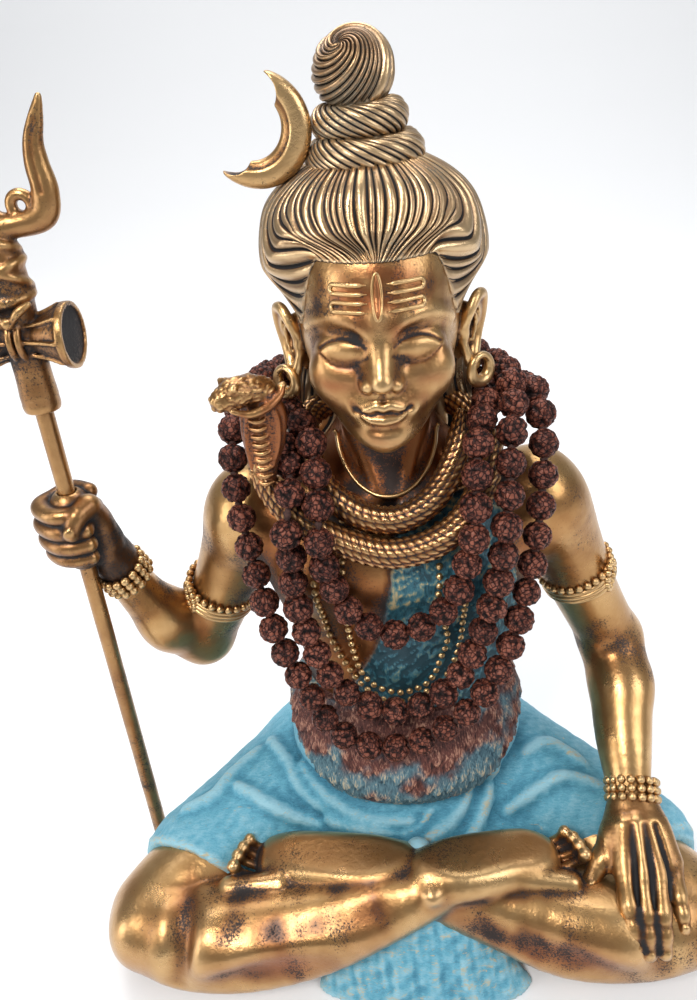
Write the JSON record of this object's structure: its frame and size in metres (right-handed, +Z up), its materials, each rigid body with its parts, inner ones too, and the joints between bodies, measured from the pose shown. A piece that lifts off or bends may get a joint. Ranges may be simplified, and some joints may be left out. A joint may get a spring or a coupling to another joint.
{
  "type": "shiva figure",
  "caption": "Seated cross-legged deity statuette in antique bronze finish, with a trident standing in its right fist and a looped string of seed beads round its neck.",
  "frame": {"origin": "centre of the flat underside, on the surface the statue stands on", "axes": "+Z up through the topknot; the figure faces -Y, so its left hand is on the +X side"},
  "size_m": [0.1801, 0.1027, 0.228],
  "materials": {
    "antique_bronze": "cold-cast bronze, resin filled with bronze powder, with a dark antique wash in the recesses and rubbed gold highlights",
    "cloth_paint": "sky-blue paint over the casting, dry-brushed with pale gold on the folds",
    "sash_paint": "reddish-brown fur texture painted over the casting, with grey-blue tips",
    "seed_beads": "knobbly dried seeds, dark reddish brown, satin",
    "bronzed_rod": "bronze-painted metal rod, worn satin"
  },
  "bodies": {
    "root": {"figure": "antique_bronze", "mala_inner": "seed_beads", "mala_middle": "seed_beads", "mala_outer": "seed_beads", "trident_shaft": "bronzed_rod", "trident_head": "antique_bronze"}
  },
  "joints": []
}
